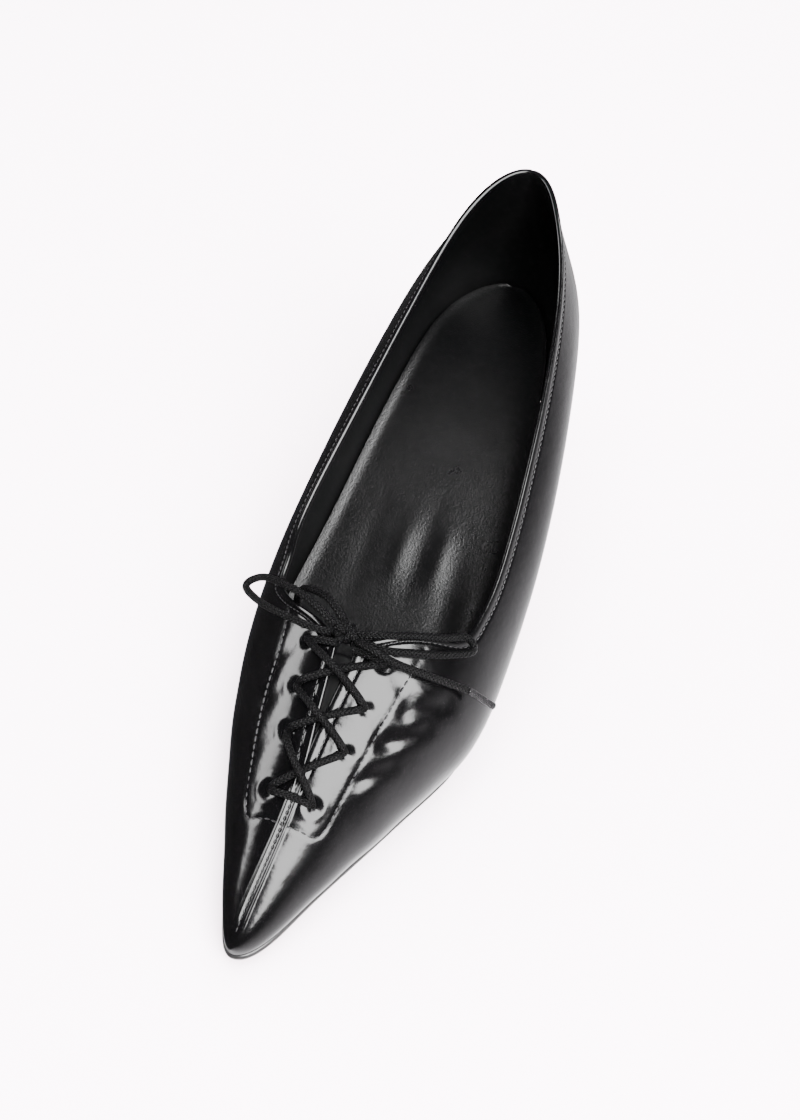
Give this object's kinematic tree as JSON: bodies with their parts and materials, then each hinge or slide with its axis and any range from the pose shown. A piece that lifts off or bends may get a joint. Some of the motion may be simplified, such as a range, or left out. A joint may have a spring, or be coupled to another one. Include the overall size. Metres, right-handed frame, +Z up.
{
  "type": "lace-up heel",
  "caption": "Black high-shine pointed court shoe, left foot, with a laced vamp, a bow and a slender covered heel.",
  "frame": {"origin": "middle of the shoe's footprint, on the floor it stands on", "axes": "+Z up, +Y from the toe to the heel, +X to the outer side of the left foot"},
  "size_m": [0.0877, 0.2554, 0.1165],
  "materials": {
    "shoe_leather": "high shine",
    "lining_leather": "semi-gloss, fine grain",
    "sole_leather": "satin",
    "heel_rubber": "matte",
    "lace_cord": "waxed braid",
    "lace_tip": "clear"
  },
  "bodies": {
    "root": {"upper": "shoe_leather", "tongue": "shoe_leather", "insole": "lining_leather", "outsole": "sole_leather", "heel": "shoe_leather", "heel_tip": "heel_rubber", "lace_crossings": "lace_cord", "bow_knot": "lace_cord", "bow_loop_inner": "lace_cord", "bow_loop_outer": "lace_cord", "lace_end_inner": "lace_cord", "lace_end_outer": "lace_cord", "aglet_inner": "lace_tip", "aglet_outer": "lace_tip"}
  },
  "joints": []
}
